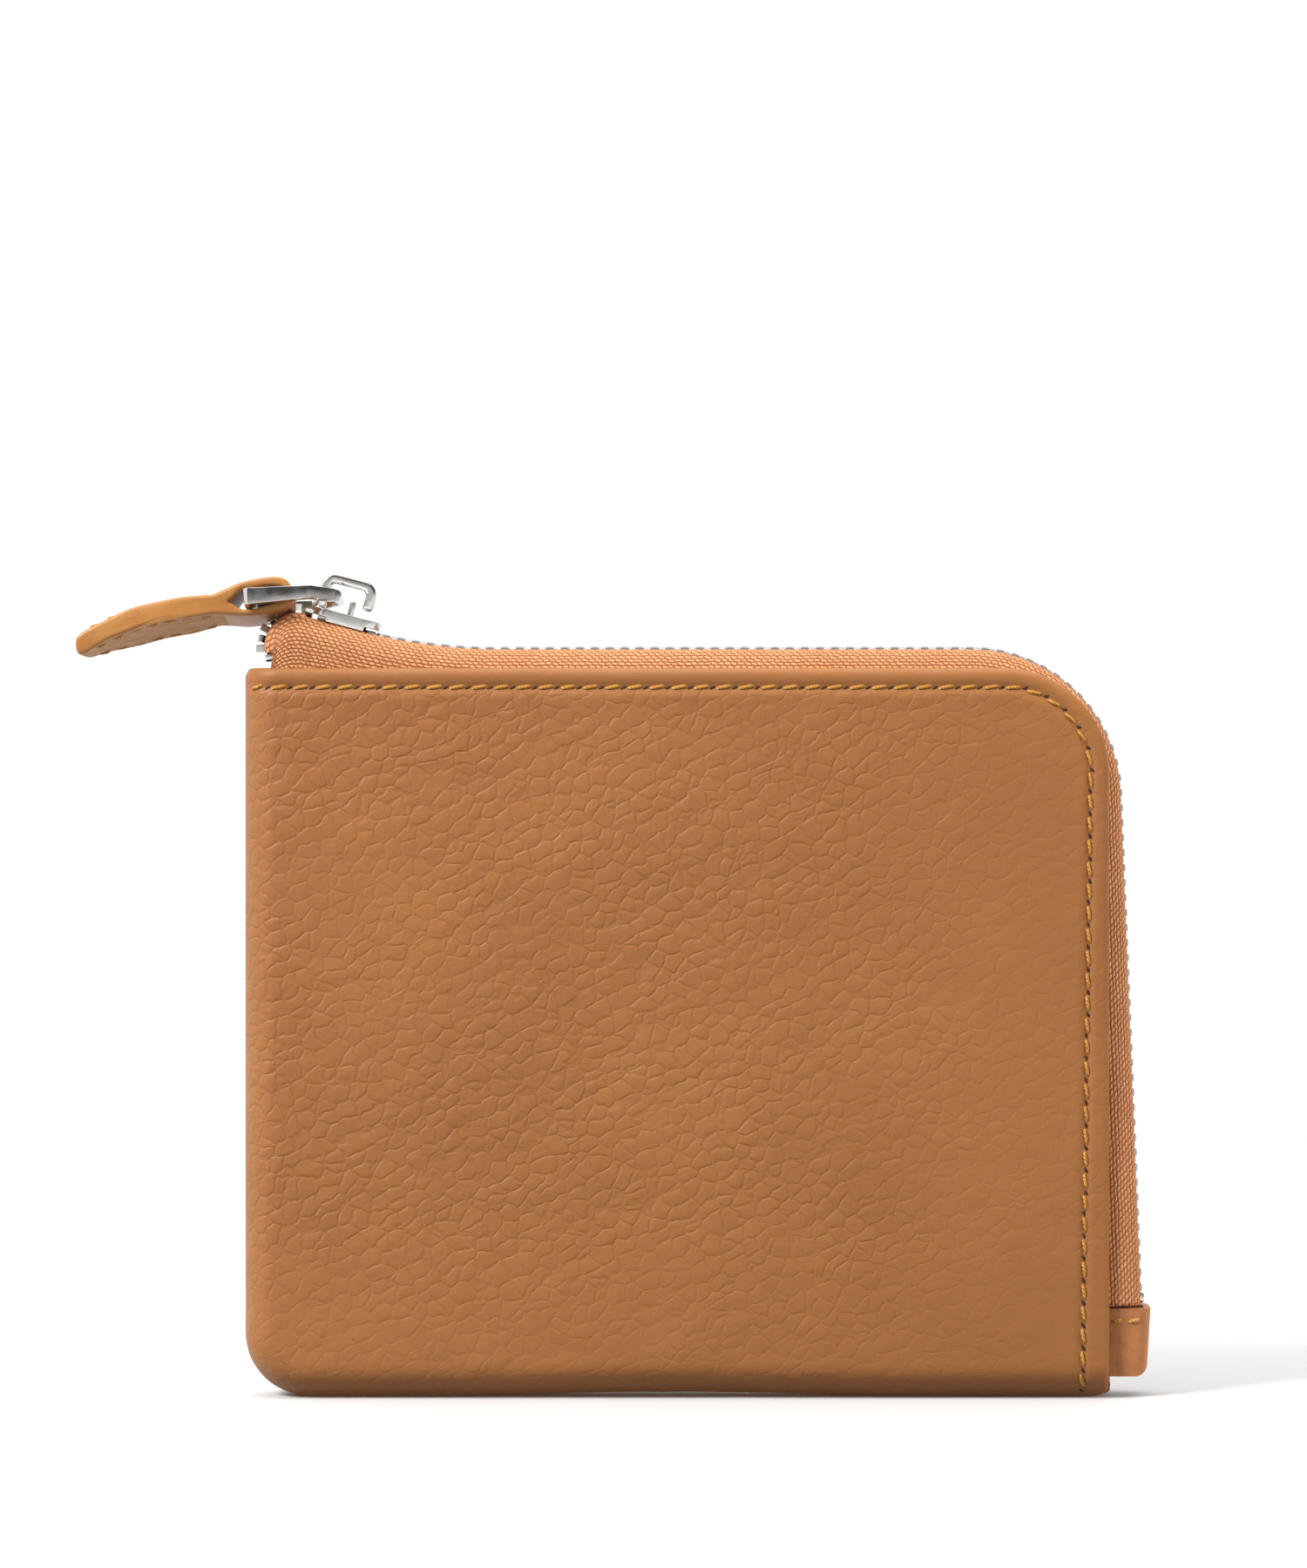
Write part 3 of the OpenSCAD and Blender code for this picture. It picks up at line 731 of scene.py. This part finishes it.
def chain_at(s):
    """The chain's place at a length s along it: x, z and its outward direction, an angle."""
    if s < S_END:
        a = END_FROM - s / END_R
        return END_X + END_R * math.cos(a), END_Z + END_R * math.sin(a), a
    if s < S_RAMP:
        run = s - S_END
        return (RAMP_X + run * math.cos(SLIDER_TILT), RAMP_Z - run * math.sin(SLIDER_TILT),
                math.pi / 2 - SLIDER_TILT)
    if s < S_DIP:
        left = SLIDER_TILT - (s - S_RAMP) / RAMP_R
        return (LEVEL_X - RAMP_R * math.sin(left), CHAIN_TOP + RAMP_R * (1 - math.cos(left)),
                math.pi / 2 - left)
    if s < S_TOP:
        return LEVEL_X + s - S_DIP, CHAIN_TOP, math.pi / 2
    if s < S_TURN:
        a = math.pi / 2 - (s - S_TOP) / TURN_R
        return TURN_X + TURN_R * math.cos(a), TURN_Z + TURN_R * math.sin(a), a
    run = s - S_TURN
    return (TURN_X + TURN_R * math.cos(SIDE_LEAN) + run * math.sin(SIDE_LEAN),
            TURN_Z + TURN_R * math.sin(SIDE_LEAN) - run * math.cos(SIDE_LEAN), SIDE_LEAN)


def chain_point(s, along, v, n):
    """A point near the chain: along it, out from its middle (v) and outward from it (n)."""
    x, z, a = chain_at(s)
    return (x + n * math.cos(a) + along * math.sin(a), v,
            z + n * math.sin(a) - along * math.cos(a))


# Middle line of the tape's section as (n, v), from deep under the hem to the teeth
HEM_V = HALF_D - LEATHER_T - 0.6
TAPE_T = 0.36
TAPE_V = HEM_V - 0.2
TAPE_LINE = [(-9.2, TAPE_V), (-7.8, TAPE_V), (-6.4, TAPE_V), (-5.0, TAPE_V), (-3.8, TAPE_V),
             (-2.7, TAPE_V - 0.03), (-1.85, TAPE_V - 0.2), (-1.15, TAPE_V - 0.55),
             (-0.5, TAPE_V - 0.95), (-0.02, TAPE_V - 1.45), (0.22, TAPE_V - 2.05), (0.2, 2.4),
             (0.0, 1.75)]
TAPE_ROOT = TAPE_LINE[0][0]
GATHERED_TO = S_END + 4.5                # up to here the tape's root gathers under the fan
FAN_ROOT_X, FAN_ROOT_Z = -54.6, 93.6     # where it gathers to


def tape_root(s):
    """Where the tape ends inside the wallet, in X-Z. At the left it gathers under the fan."""
    x, _, z = chain_point(max(s, GATHERED_TO), 0, 0, TAPE_ROOT)
    t = min(1.0, s / GATHERED_TO)
    return FAN_ROOT_X + (x - FAN_ROOT_X) * t, FAN_ROOT_Z + (z - FAN_ROOT_Z) * t


def tape_place(s, side, n, v):
    """A point of the tape, with a slight ripple that fades out towards the teeth."""
    if s < S_END and n > -0.3:
        n += 0.4
    near = chain_point(s, 0, 0, n)
    x, z = near[0], near[2]
    if s < GATHERED_TO and n < 0:
        start = chain_point(s, 0, 0, -0.6)
        root_x, root_z = tape_root(s)
        t = min(1.0, max(0.0, (-n - 0.6) / (-TAPE_ROOT - 0.6)))
        if n < -0.6:
            x, z = start[0] + (root_x - start[0]) * t, start[2] + (root_z - start[2]) * t
    if s > S_SIDE:
        v, inside = min(v, 2.9), max(0.12, 1 - 1.6 * (s - S_SIDE))
        base = chain_point(s, 0, 0, 0)
        x, z = base[0] - 0.3 + (x - base[0]) * inside, base[2] + (z - base[2]) * inside
    fade = min(1.0, max(0.0, (-n - 0.3) / 2))
    pucker = 0.16 * math.sin(s * 1.9) * fade if s < S_END + 3 else 0.0
    ripple = 0.10 * rolled((s, n, side), 5.0, 3) * fade + pucker
    return x, side * min(v + ripple, HEM_V - 0.02), z


def tape_piece(name, side):
    """One woven tape, swept along the chain."""
    places = [0.0]
    while places[-1] < S_SIDE + 5:
        s = places[-1]
        places.append(s + (0.4 if s < S_DIP or S_TOP < s < S_TURN or s > S_SIDE - 1 else 0.9))
    outside, inside, lengths = [], [], [0.0]
    for i, (n, v) in enumerate(TAPE_LINE):
        before, after = TAPE_LINE[max(i - 1, 0)], TAPE_LINE[min(i + 1, len(TAPE_LINE) - 1)]
        dn, dv = after[0] - before[0], after[1] - before[1]
        size = math.hypot(dn, dv)
        outside.append((n - dv / size * TAPE_T / 2, v + dn / size * TAPE_T / 2))
        inside.append((n + dv / size * TAPE_T / 2, v - dn / size * TAPE_T / 2))
        if i:
            lengths.append(lengths[-1] + math.dist(TAPE_LINE[i - 1], (n, v)))
    section = outside + inside[::-1]
    across = lengths + lengths[::-1]
    m = len(section)
    points = [tape_place(s, side, n, v) for s in places for n, v in section]
    tape = make_mesh(name, points, tube_faces(len(places), m), TAPE)
    weave = tape.data.uv_layers.new(name="weave")
    for loop in tape.data.loops:
        i, k = divmod(loop.vertex_index, m)
        weave.data[loop.index].uv = (places[i], across[k])
    return tape


HELD_BY_TAB = (3.5, 13.0)    # above the fold, the front tape and teeth leave the tab's hold
TOOTH_PITCH = 2.0
TOOTH_L = 1.0
FAN_TURN, FAN_SHIFT = math.radians(62), 0.35      # how a tooth of the open fan stands
SLIDER_S = S_END + 5.2
NO_TEETH_FROM, NO_TEETH_TO = SLIDER_S - 4.4, SLIDER_S - 0.6      # inside the slider's body

# Outline of one tooth as (v, n): two legs that clamp the tape and a narrower head
TOOTH_OUTLINE = [(2.3, 0.62), (2.3, -0.62), (1.9, -0.78), (1.0, -0.78), (0.6, -0.55),
                 (-0.35, -0.5), (-0.6, -0.3), (-0.6, 0.3), (-0.35, 0.5), (0.6, 0.55), (1.0, 0.78),
                 (1.9, 0.78)]


def one_tooth(s, side, opened):
    """A tooth across the chain at s, its edges eased, as (points, faces). In the open fan it
    is turned about its clamp, so that its head points outward."""
    points = []
    layers = ((-TOOTH_L / 2, 0.86), (-TOOTH_L / 2 + 0.14, 1.0), (TOOTH_L / 2 - 0.14, 1.0),
              (TOOTH_L / 2, 0.86))
    turn = FAN_TURN * opened
    clamp_v, clamp_n = 1.9, 0.0
    for along, scale in layers:
        for v, n in TOOTH_OUTLINE:
            dv, dn = v - clamp_v, (n - clamp_n) * scale
            v_in = clamp_v + dv * math.cos(turn) + dn * math.sin(turn) + FAN_SHIFT * opened
            n_in = clamp_n - dv * math.sin(turn) + dn * math.cos(turn) - FAN_SHIFT * opened
            points.append(chain_point(s, along, side * v_in, n_in))
    return points, tube_faces(len(layers), len(TOOTH_OUTLINE))


def teeth_piece(name, side, first):
    """Every tooth on one tape. In the open fan at the left the two rows stand apart."""
    parts = []
    s = first
    while s < S_SIDE - 1.5:
        if not NO_TEETH_FROM < s < NO_TEETH_TO:
            parts.append(one_tooth(s, side, max(0.0, min(1.0, (S_END + 1.5 - s) / 2.5))))
        s += TOOTH_PITCH
    return joined(name, parts, TEETH_METAL)


for name, side, body, first in (("front", -1, "flap", 0.5), ("back", 1, "root", 1.5)):
    tape = tape_piece(name + "_tape", side)
    teeth = teeth_piece(name + "_zip_teeth", side, first)
    teeth.data.polygons.foreach_set("use_smooth", [False] * len(teeth.data.polygons))
    stop = soften(name + "_end_stop", name + "_top_stop", 0.25, NICKEL)
    for piece, node, slot in ((tape, "zip_tape", "zip_tape"), (teeth, "teeth", "nickel"),
                              (stop, "top_stop", "nickel")):
        if side < 0 and piece is not stop:
            across_fold(piece, *HELD_BY_TAB)
        else:
            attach(piece, body)
        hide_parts(f"{name}_{node}")

bottom_stop = soften("chain_bottom_stop", "bottom_stop", 0.35, NICKEL)
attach(bottom_stop, "root")

# ---------------------------------------------------------------- slider and ring
def reshape(piece, move):
    """Moves each point of a piece. move takes and gives a place in millimetres."""
    for vertex in piece.data.vertices:
        vertex.co = move(vertex.co / MM) * MM


metal = {}
for name, node, width, body in (("zip_slider", "slider_body", 0.22, "slider"),
                                ("slider_hook", "slider_crown", 0.3, "slider"),
                                ("slider_lock_pin", "lock_pin", 0.12, "pin"),
                                ("ring_pull", "pull_ring", 0.36, "ring")):
    metal[name] = soften(name, node, width, NICKEL, 4)
    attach(metal[name], body)

slider_x, slider_z, slider_angle = chain_at(SLIDER_S)
slider_middle = Vector((slider_x, 0, slider_z))
slider_out = Vector((math.cos(slider_angle), 0, math.sin(slider_angle)))
HOOK_RISE = 0.9


def taller_hook(place):
    """The hook arches higher over the ring's eye."""
    height = (place - slider_middle).dot(slider_out)
    t = min(1.0, max(0.0, (height - 2.4) / 2.2))
    return place + slider_out * HOOK_RISE * t * t * (3 - 2 * t)


ring_eye = Vector(JOINTS["ring_swing"]["pos_m"]) / MM
ring_y = Vector(JOINTS["ring_swing"]["axis"])
ring_x = (Vector(JOINTS["strap_swing"]["pos_m"]) / MM - ring_eye).normalized()
ring_z = ring_x.cross(ring_y)


def tapered_ring(place):
    """The ring's legs deepen from its eye to its wide bar."""
    from_eye = place - ring_eye
    deepen = 0.42 * min(1.0, max(0.0, from_eye.dot(ring_x) / 11.2)) - 0.08
    return place + ring_z * from_eye.dot(ring_z) * deepen


def thicker_wire(piece, extra):
    """The piece's skin moves out along its normals by extra millimetres."""
    normals = [v.normal.copy() for v in piece.data.vertices]
    for vertex, normal in zip(piece.data.vertices, normals):
        vertex.co += normal * extra * MM


reshape(metal["slider_hook"], taller_hook)
thicker_wire(metal["slider_hook"], 0.16)
reshape(metal["ring_pull"], tapered_ring)

# ---------------------------------------------------------------- leather strap
STRAP_W = 10.0
STRAP_T = 2.8
STRAP_DROP = math.radians(10)
STRAP_END = 24.0
SAG_FROM, STRAP_SAG = 10.0, 1.9
STRAP_TWIST, TIP_TWIST = math.radians(7), math.radians(-8)
bar = Vector(JOINTS["strap_swing"]["pos_m"]) / MM
strap_y = Vector(JOINTS["strap_swing"]["axis"])
strap_x = Vector((-math.cos(STRAP_DROP), 0, -math.sin(STRAP_DROP)))
strap_x = (strap_x - strap_y * strap_x.dot(strap_y)).normalized()
strap_z = strap_x.cross(strap_y)


def strap_point(x, y, z):
    """A place on the strap, from the ring's wide bar: x to the tip, z away from its top."""
    t = min(1.0, max(0.0, (x - 5) / (STRAP_END - 5)))
    twist = STRAP_TWIST * math.sin(math.pi * t) + TIP_TWIST * t * t
    y, z = y * math.cos(twist) - z * math.sin(twist), y * math.sin(twist) + z * math.cos(twist)
    return bar + strap_x * x + strap_y * y + strap_z * z


def sag(x):
    """How far the strap has drooped at x."""
    return 0.0 if x < SAG_FROM else STRAP_SAG * ((x - SAG_FROM) / (STRAP_END - SAG_FROM)) ** 2


def eased(points, rounds=3):
    """Corner-cutting, which turns a few points into a smooth closed line."""
    for _ in range(rounds):
        cut = []
        for i, a in enumerate(points):
            b = points[(i + 1) % len(points)]
            cut.append((0.75 * a[0] + 0.25 * b[0], 0.75 * a[1] + 0.25 * b[1]))
            cut.append((0.25 * a[0] + 0.75 * b[0], 0.25 * a[1] + 0.75 * b[1]))
        points = cut
    return points


def strap_piece():
    """The strap's side view as a filled curve with its eye left open, given the strap's width."""
    half = STRAP_T / 2
    xs = [5.0 + 1.2 * i for i in range(16)]
    top = [(x, sag(x) - half - 0.06 * math.sin(x * 0.9)) for x in xs]
    under = [(x, sag(x) + half + 0.08 * math.sin(x * 0.8 + 1)) for x in xs]
    tip = [(STRAP_END, sag(STRAP_END) - half + 0.2), (STRAP_END + 0.1, sag(STRAP_END) + half - 0.5)]
    fold = [(3.2, 1.75), (1.0, 2.3), (-2.0, 2.4), (-4.4, 2.2), (-5.5, 1.1), (-5.6, -0.8),
            (-4.6, -2.2), (-2.0, -2.5), (1.0, -2.4), (3.2, -1.85)]
    outer = eased(top + tip + list(reversed(under)) + fold, 2)
    eye = eased([(-4.2, -1.1), (0.0, -1.55), (1.5, -1.35), (2.3, -0.5), (3.2, 0.0), (2.3, 0.5),
                 (1.5, 1.35), (0.0, 1.55), (-4.2, 1.1), (-4.7, 0.0)], 3)
    curve = bpy.data.curves.new("strap_outline", "CURVE")
    curve.dimensions = "2D"
    curve.fill_mode = "BOTH"
    bevel = 0.5
    curve.bevel_depth = bevel
    curve.bevel_resolution = 3
    curve.extrude = STRAP_W / 2 - bevel
    curve.offset = -bevel
    for outline in (outer, eye):
        spline = curve.splines.new("POLY")
        spline.points.add(len(outline) - 1)
        spline.use_cyclic_u = True
        for point, (x, z) in zip(spline.points, outline):
            point.co = (x, z, 0, 1)
    drawn = bpy.data.objects.new("strap_outline", curve)
    bpy.context.scene.collection.objects.link(drawn)
    mesh = bpy.data.meshes.new_from_object(
        drawn.evaluated_get(bpy.context.evaluated_depsgraph_get()))
    bpy.data.objects.remove(drawn)
    points = [tuple(strap_point(v.co.x, v.co.z, v.co.y)) for v in mesh.vertices]
    faces = [list(p.vertices) for p in mesh.polygons]
    strap = make_mesh("leather_strap", points, faces)
    work = bmesh.new()
    work.from_mesh(strap.data)
    bmesh.ops.remove_doubles(work, verts=work.verts, dist=0.01 * MM)
    bmesh.ops.recalc_face_normals(work, faces=work.faces)
    work.to_mesh(strap.data)
    work.free()
    for material in (EDGE_PAINT, STRAP_FACE, STRAP_UNDERSIDE_PAINTED_LIGHT):
        strap.data.materials.append(material)
    for polygon in strap.data.polygons:
        sideways = abs(polygon.normal.dot(strap_y))
        down = polygon.normal.dot(strap_z)
        centre = (polygon.center / MM - bar).dot(strap_x)
        # Faces turned down get the underside colour, which carries painted light from below.
        polygon.material_index = 0 if sideways > 0.35 else (2 if down > 0.4 and centre > 4 else 1)
        polygon.use_smooth = True
    strap.data.set_sharp_from_angle(angle=math.radians(50))
    return strap


strap = strap_piece()


def with_strap(piece):
    """Bakes the piece's placement into its mesh."""
    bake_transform(piece)


with_strap(strap)
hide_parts("strap_loop", "strap_tail")

strap_threads = []
for strap_side in (-1, 1):
    for face_side in (-1, 1):
        for i in range(7):
            x = 6.3 + 2.45 * i
            out = strap_z * face_side
            centre = strap_point(x, strap_side * (STRAP_W / 2 - 1.35),
                                 sag(x) + face_side * (STRAP_T / 2 + 0.02))
            slope = 2 * (sag(x + 0.5) - sag(x - 0.5))
            strap_threads.append(thread_stitch(centre, strap_x + strap_z * slope / 2, out,
                                               length=1.9, radius=0.19, slant=9.0, lift=0.03))
strap_stitches = joined("strap_stitches", strap_threads, THREAD)
with_strap(strap_stitches)
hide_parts("strap_stitching")

# ---------------------------------------------------------------- tab over the zip's lower end
tab = soften("zip_tab", "zip_end_tab", 0.34, TAB_LEATHER, 4)
tab_top = node_box("zip_end_tab")[1][2]


def flared_lip(place):
    """The tab's upper edge flares out a little."""
    t = min(1.0, max(0.0, (place.z - tab_top + 1.3) / 1.3)) ** 2
    return Vector((place.x + 0.45 * t * (place.x > 60), place.y * (1 + 0.05 * t), place.z))


reshape(tab, flared_lip)
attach(tab, "root")
tab_high = node_box("tab_stitching")[1]
TAB_ROW_X, TAB_ROW_Z = (58.6, 60.9), 10.2
tab_threads = []
for side in (-1, 1):
    for x in TAB_ROW_X:
        tab_threads.append(thread_stitch((x, side * (tab_high[1] - 0.27), TAB_ROW_Z), (1, 0, 0.06),
                                         (0, side, 0), length=1.9, radius=0.34, slant=6.0,
                                         lift=0.2))
tab_stitches = joined("tab_stitches", tab_threads, THREAD)
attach(tab_stitches, "root")
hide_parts("tab_stitching")


# ---------------------------------------------------------------- inside
SHEET_STEP, SHEET_CORNER, SHEET_GAP = 2.0, 1.0, 0.04


def sheet_piece(name, nodes, material):
    """A thin sheet that fills the box of its CAD nodes, with rounded corners."""
    boxes = [node_box(node) for node in nodes]
    low = np.min([b[0] for b in boxes], axis=0)
    high = np.max([b[1] for b in boxes], axis=0)
    xs, zs = (np.linspace(0, high[axis] - low[axis],
                          max(2, round((high[axis] - low[axis]) / SHEET_STEP)))
              for axis in (0, 2))
    under_zip = len(nodes) > 1 or "back" in nodes[0]
    radii = (SHEET_CORNER, SHEET_CORNER, ZIP_CORNER_R if under_zip else SHEET_CORNER,
             SHEET_CORNER)
    x, z = rounded_plan(xs, zs, low[0], low[2], high[0], high[2], radii)
    nx, nz = x.shape
    points = [(x[i, j], y, z[i, j]) for y in (low[1] + SHEET_GAP, high[1] - SHEET_GAP)
              for i in range(nx) for j in range(nz)]
    count = nx * nz
    faces, rim = layer_faces(nx, nz)
    for n, k in enumerate(rim):
        following = rim[(n + 1) % len(rim)]
        faces.append([k, following, following + count, k + count])
    piece = make_mesh(name, points, faces, material)
    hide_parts(*nodes)
    return piece


front_cloth = sheet_piece("front_inner_cloth", ["front_lining_lower", "front_lining_flap"], LINING)
across_fold(front_cloth)
for name, node, material, slot in (
        ("back_inner_cloth", "back_lining", LINING, "lining"),
        ("coin_patch_pocket", "coin_pocket", LINING, "lining"),
        ("card_pocket_upper", "card_slot_upper", LEATHER, "leather"),
        ("card_pocket_middle", "card_slot_middle", LEATHER, "leather"),
        ("card_pocket_lower", "card_slot_lower", LEATHER, "leather")):
    inside = sheet_piece(name, [node], material)
    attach(inside, "root")

# ---------------------------------------------------------------- floor, light and camera
CAMERA_AT = Vector((-3.0, 0, 81.6)) * MM
CAMERA_BACK = 0.80
FRAME_H = 207.9 * MM
SENSOR_H = 24.0


def floor_material():
    s = Shader("pale_floor")
    return s.finish((0.66, 0.66, 0.66), 0.6)


floor = make_mesh("floor", [(-700, -800, 0), (700, -800, 0), (700, 600, 0), (-700, 600, 0)],
                  [[0, 1, 2, 3]], floor_material(), smooth=False)


def area_light(name, place, target, size, power):
    data = bpy.data.lights.new(name, "AREA")
    data.shape = "RECTANGLE"
    data.size, data.size_y = size
    data.energy = power
    light = bpy.data.objects.new(name, data)
    bpy.context.scene.collection.objects.link(light)
    light.location = place
    light.rotation_euler = (Vector(target) - Vector(place)).to_track_quat("-Z", "Y").to_euler()
    return light


area_light("key_light", (-0.80, -0.68, 0.90), (0, 0, 0.06), (0.42, 0.42), 22.0)
fill = area_light("fill_light", (1.3, -0.3, 0.45), (0, 0, 0.05), (0.9, 0.9), 15.0)
fill.visible_glossy = False
area_light("top_light", (-0.1, 0.05, 1.0), (0, 0, 0.05), (0.9, 0.6), 4.0)


# Cards behind the camera and at the right, darker towards their tops, for the metal to reflect
def card_material():
    s = Shader("card_paint")
    shade = s.ramp(s.axis("Z"), 260.0, 700.0)
    return s.finish(s.mix(shade, (0.50, 0.50, 0.50), (0.03, 0.03, 0.03)), 0.9)


card = make_mesh("reflected_card", [(-1600, -1500, 20), (1600, -1500, 20), (1600, -1500, 2200),
                                    (-1600, -1500, 2200)], [[0, 1, 2, 3]], card_material(),
                 smooth=False)
side_card = make_mesh("reflected_side_card", [(1700, -1500, 20), (1700, 1200, 20),
                                              (1700, 1200, 2200), (1700, -1500, 2200)],
                      [[0, 1, 2, 3]], card.data.materials[0], smooth=False)
for shown in (card, side_card):
    shown.visible_camera = False

# The floor lights the wallet's front too much for its grain to show, so what the wallet gets
# from below comes from a dark sheet under the floor
floor.visible_diffuse = False
under_floor = make_mesh("under_floor", [(-4000, -3000, -20), (4000, -3000, -20),
                                        (4000, 9000, -20), (-4000, 9000, -20)], [[0, 1, 2, 3]],
                        smooth_leather("under_floor_paint", (0.42, 0.42, 0.42), (0.42, 0.42, 0.42),
                                       0.9), smooth=False)
under_floor.visible_camera = False
under_floor.visible_glossy = False

world = bpy.data.worlds.new("studio")
world.use_nodes = True
world.node_tree.nodes["Background"].inputs["Color"].default_value = (1, 1, 1, 1)
world.node_tree.nodes["Background"].inputs["Strength"].default_value = 1.08
bpy.context.scene.world = world
bpy.context.scene.view_settings.view_transform = "Standard"

lens = bpy.data.cameras.new("camera")
lens.sensor_fit = "VERTICAL"
lens.sensor_height = SENSOR_H
lens.lens = SENSOR_H * CAMERA_BACK / FRAME_H
camera = bpy.data.objects.new("camera", lens)
bpy.context.scene.collection.objects.link(camera)
camera.location = CAMERA_AT + Vector((0, -CAMERA_BACK - HALF_D * MM, 0))
camera.rotation_euler = (math.pi / 2, 0, 0)
lens.clip_end = 50.0
bpy.context.scene.camera = camera
